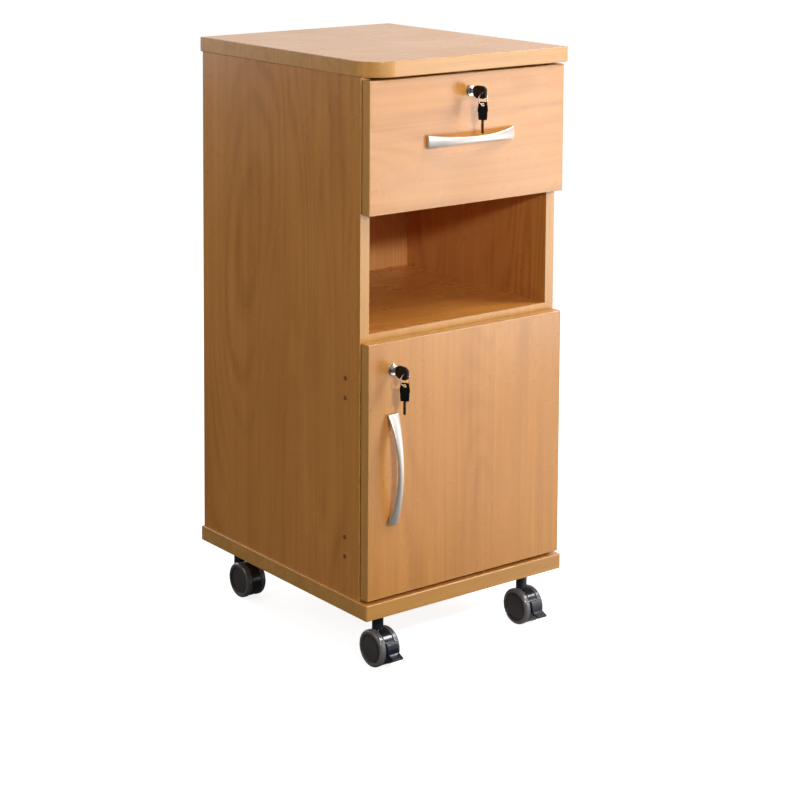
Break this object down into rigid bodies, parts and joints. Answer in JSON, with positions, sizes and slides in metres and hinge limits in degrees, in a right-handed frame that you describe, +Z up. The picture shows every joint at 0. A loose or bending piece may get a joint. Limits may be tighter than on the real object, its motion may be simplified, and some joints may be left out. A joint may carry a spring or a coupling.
{
  "type": "bedside cabinet",
  "caption": "Tall bedside cabinet in beech pattern board on swivel casters, with a lockable drawer, an open niche and a lockable door.",
  "frame": {"origin": "on the floor under the centre of the cabinet's box, keys included", "axes": "+Z up, +X to the right of a person facing the door, +Y from the door to the back"},
  "size_m": [0.413, 0.5068, 0.976],
  "materials": {
    "side_board": "beech pattern melamine board, grain upright",
    "slab_board": "beech pattern melamine board",
    "front_board": "beech pattern melamine board",
    "inner_board": "beech pattern melamine board",
    "edging": "beech pattern ABS edge strip",
    "dowel_wood": "bare beech",
    "hardboard": "painted hardboard",
    "box_board": "white melamine board",
    "satin_metal": "satin lacquered bow handle",
    "steel": "zinc plated steel",
    "nickel": "polished nickel",
    "key_plastic": "moulded black bow",
    "plug_plastic": "brown caps",
    "caster_body": "dark moulded nylon",
    "caster_hub": "dark grey moulded nylon",
    "caster_tread": "soft grey tread",
    "caster_steel": "black plate"
  },
  "bodies": {
    "carcass": {"left_side_panel": "side_board", "right_side_panel": "side_board", "top_panel": "slab_board", "base_panel": "slab_board", "back_panel": "inner_board", "niche_shelf": "inner_board", "drawer_divider": "inner_board", "top_panel_edging": "edging", "base_panel_edging": "edging", "carcass_edging": "edging", "carcass_dowels": "dowel_wood", "hinge_arms": "steel", "lock_strikes": "steel", "drawer_slide_outer": "steel", "side_hole_plugs": "plug_plastic", "caster_plates": "caster_steel", "caster_plate_screws": "steel"},
    "door": {"door_panel": "front_board", "door_edging": "edging", "door_handle": "satin_metal", "door_handle_screws": "steel", "hinge_cups": "steel", "door_lock_case": "nickel"},
    "door_bolt": {"door_lock_bolt": "steel"},
    "door_keys": {"door_lock_plug": "nickel", "door_key": "key_plastic", "door_key_ring": "nickel"},
    "door_spare_key": {"door_spare_key_head": "key_plastic", "door_spare_key_blade": "steel"},
    "drawer": {"drawer_front": "front_board", "drawer_front_edging": "edging", "drawer_handle": "satin_metal", "drawer_handle_screws": "steel", "drawer_box_sides": "box_board", "drawer_box_back": "box_board", "drawer_bottom": "hardboard", "drawer_slide_inner": "steel", "drawer_lock_case": "nickel"},
    "drawer_slide_members": {"drawer_slide_middle": "steel"},
    "drawer_bolt": {"drawer_lock_bolt": "steel"},
    "drawer_keys": {"drawer_lock_plug": "nickel", "drawer_key": "key_plastic", "drawer_key_ring": "nickel"},
    "drawer_spare_key": {"drawer_spare_key_head": "key_plastic", "drawer_spare_key_blade": "steel"},
    "caster_front_left": {"caster_front_left_hood": "caster_body"},
    "wheels_front_left": {"caster_front_left_hubs": "caster_hub", "caster_front_left_tyres": "caster_tread"},
    "pedal_front_left": {"caster_front_left_pedal": "caster_body"},
    "caster_front_right": {"caster_front_right_hood": "caster_body"},
    "wheels_front_right": {"caster_front_right_hubs": "caster_hub", "caster_front_right_tyres": "caster_tread"},
    "pedal_front_right": {"caster_front_right_pedal": "caster_body"},
    "caster_rear_left": {"caster_rear_left_hood": "caster_body"},
    "wheels_rear_left": {"caster_rear_left_hubs": "caster_hub", "caster_rear_left_tyres": "caster_tread"},
    "caster_rear_right": {"caster_rear_right_hood": "caster_body"},
    "wheels_rear_right": {"caster_rear_right_hubs": "caster_hub", "caster_rear_right_tyres": "caster_tread"}
  },
  "joints": [
    {"name": "door_hinge", "type": "hinge", "parent": "carcass", "child": "door", "pos_m": [0.1948, -0.2061, 0.328], "axis": [0, 0, 1], "range_deg": [0, 105]},
    {"name": "drawer_slide", "type": "slide", "parent": "carcass", "child": "drawer", "axis": [0, -1, 0], "range_m": [0, 0.27]},
    {"name": "drawer_slide_half", "type": "slide", "parent": "carcass", "child": "drawer_slide_members", "axis": [0, -1, 0], "range_m": [0, 0.135]},
    {"name": "door_key_turn", "type": "hinge", "parent": "door", "child": "door_keys", "pos_m": [-0.154, -0.2154, 0.489], "axis": [0, 1, 0], "range_deg": [0, 90]},
    {"name": "door_bolt_slide", "type": "slide", "parent": "door", "child": "door_bolt", "axis": [-1, 0, 0], "range_m": [0, 0.008]},
    {"name": "door_spare_key_hang", "type": "hinge", "parent": "door_keys", "child": "door_spare_key", "pos_m": [-0.154, -0.2462, 0.479], "axis": [0, 1, 0], "range_deg": [-90, 0]},
    {"name": "drawer_key_turn", "type": "hinge", "parent": "drawer", "child": "drawer_keys", "pos_m": [0, -0.2154, 0.918], "axis": [0, 1, 0], "range_deg": [0, 90]},
    {"name": "drawer_bolt_slide", "type": "slide", "parent": "drawer", "child": "drawer_bolt", "axis": [0, 0, 1], "range_m": [0, 0.008]},
    {"name": "drawer_spare_key_hang", "type": "hinge", "parent": "drawer_keys", "child": "drawer_spare_key", "pos_m": [0, -0.2462, 0.908], "axis": [0, 1, 0], "range_deg": [-90, 0]},
    {"name": "swivel_front_left", "type": "hinge", "parent": "carcass", "child": "caster_front_left", "pos_m": [-0.1535, -0.1801, 0.08], "axis": [0, 0, 1], "continuous": true},
    {"name": "wheel_front_left", "type": "hinge", "parent": "caster_front_left", "child": "wheels_front_left", "pos_m": [-0.1535, -0.1851, 0.03], "axis": [1, 0, 0], "continuous": true},
    {"name": "pedal_front_left", "type": "hinge", "parent": "caster_front_left", "child": "pedal_front_left", "pos_m": [-0.1535, -0.2071, 0.028], "axis": [1, 0, 0], "range_deg": [0, 6]},
    {"name": "swivel_front_right", "type": "hinge", "parent": "carcass", "child": "caster_front_right", "pos_m": [0.1535, -0.1801, 0.08], "axis": [0, 0, 1], "continuous": true},
    {"name": "wheel_front_right", "type": "hinge", "parent": "caster_front_right", "child": "wheels_front_right", "pos_m": [0.1535, -0.1851, 0.03], "axis": [1, 0, 0], "continuous": true},
    {"name": "pedal_front_right", "type": "hinge", "parent": "caster_front_right", "child": "pedal_front_right", "pos_m": [0.1535, -0.2071, 0.028], "axis": [1, 0, 0], "range_deg": [0, 6]},
    {"name": "swivel_rear_left", "type": "hinge", "parent": "carcass", "child": "caster_rear_left", "pos_m": [-0.1535, 0.2129, 0.08], "axis": [0, 0, 1], "continuous": true},
    {"name": "wheel_rear_left", "type": "hinge", "parent": "caster_rear_left", "child": "wheels_rear_left", "pos_m": [-0.1535, 0.1879, 0.03], "axis": [1, 0, 0], "continuous": true},
    {"name": "swivel_rear_right", "type": "hinge", "parent": "carcass", "child": "caster_rear_right", "pos_m": [0.1535, 0.2129, 0.08], "axis": [0, 0, 1], "continuous": true},
    {"name": "wheel_rear_right", "type": "hinge", "parent": "caster_rear_right", "child": "wheels_rear_right", "pos_m": [0.1535, 0.1879, 0.03], "axis": [1, 0, 0], "continuous": true}
  ],
  "couplings": [
    {"joint": "drawer_slide_half", "follows": "drawer_slide", "ratio": 0.5},
    {"joint": "door_bolt_slide", "follows": "door_key_turn", "m_per_rad": 0.0050925},
    {"joint": "door_spare_key_hang", "follows": "door_key_turn", "ratio": -1},
    {"joint": "drawer_bolt_slide", "follows": "drawer_key_turn", "m_per_rad": 0.0050925},
    {"joint": "drawer_spare_key_hang", "follows": "drawer_key_turn", "ratio": -1}
  ]
}
